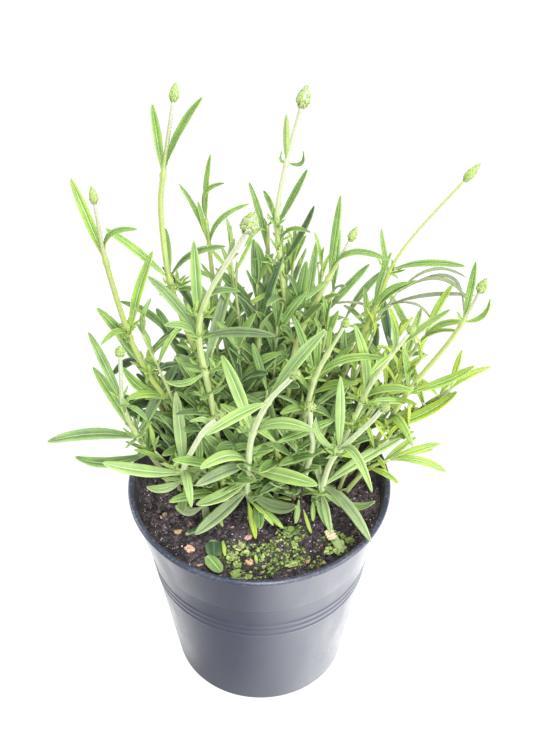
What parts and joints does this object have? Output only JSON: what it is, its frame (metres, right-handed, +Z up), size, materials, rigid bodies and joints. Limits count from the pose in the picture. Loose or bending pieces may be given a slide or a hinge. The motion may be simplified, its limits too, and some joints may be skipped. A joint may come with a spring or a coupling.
{
  "type": "potted lavender",
  "caption": "Young lavender in a tapered grower's pot: narrow leaves in pairs on upright stems, flower buds, compost.",
  "frame": {"origin": "centre of the flat pad under the pot, on the surface that the pot stands on", "axes": "+Z up along the pot's axis, -Y towards the side that the plant leans to, +X to the right seen from there"},
  "size_m": [0.2101, 0.1494, 0.3312],
  "materials": {
    "pot": "satin",
    "compost": "matte",
    "foliage": "matte",
    "inner_foliage": "matte",
    "lime_foliage": "matte",
    "dried_leaf": "matte",
    "bud": "matte"
  },
  "bodies": {
    "root": {"pot": "pot", "soil": "compost", "stem_a": "foliage", "bud_a": "bud", "stem_b": "foliage", "bud_b": "bud", "stem_c": "foliage", "bud_c": "bud", "stem_d": "foliage", "bud_d": "bud", "stem_e": "foliage", "bud_e": "bud", "stem_f": "foliage", "bud_f": "bud", "stem_g": "foliage", "bud_g": "bud", "stem_h": "foliage", "bud_h": "bud", "stem_i": "foliage", "bud_i": "bud", "stem_j": "foliage", "bud_j": "bud", "stem_k": "foliage", "bud_k": "bud", "stem_l": "foliage", "bud_l": "bud", "stem_m": "foliage", "bud_m": "bud", "stem_n": "foliage", "bud_n": "bud", "stem_o": "foliage", "stem_p": "foliage", "lime_a": "lime_foliage", "lime_b": "lime_foliage", "lime_c": "lime_foliage", "limp_leaves": "dried_leaf", "shoot_a": "inner_foliage", "shoot_b": "inner_foliage", "shoot_c": "inner_foliage", "shoot_d": "inner_foliage", "shoot_e": "inner_foliage", "shoot_f": "inner_foliage", "shoot_g": "inner_foliage", "shoot_h": "inner_foliage", "shoot_i": "inner_foliage", "shoot_j": "inner_foliage", "shoot_k": "inner_foliage"}
  },
  "joints": []
}
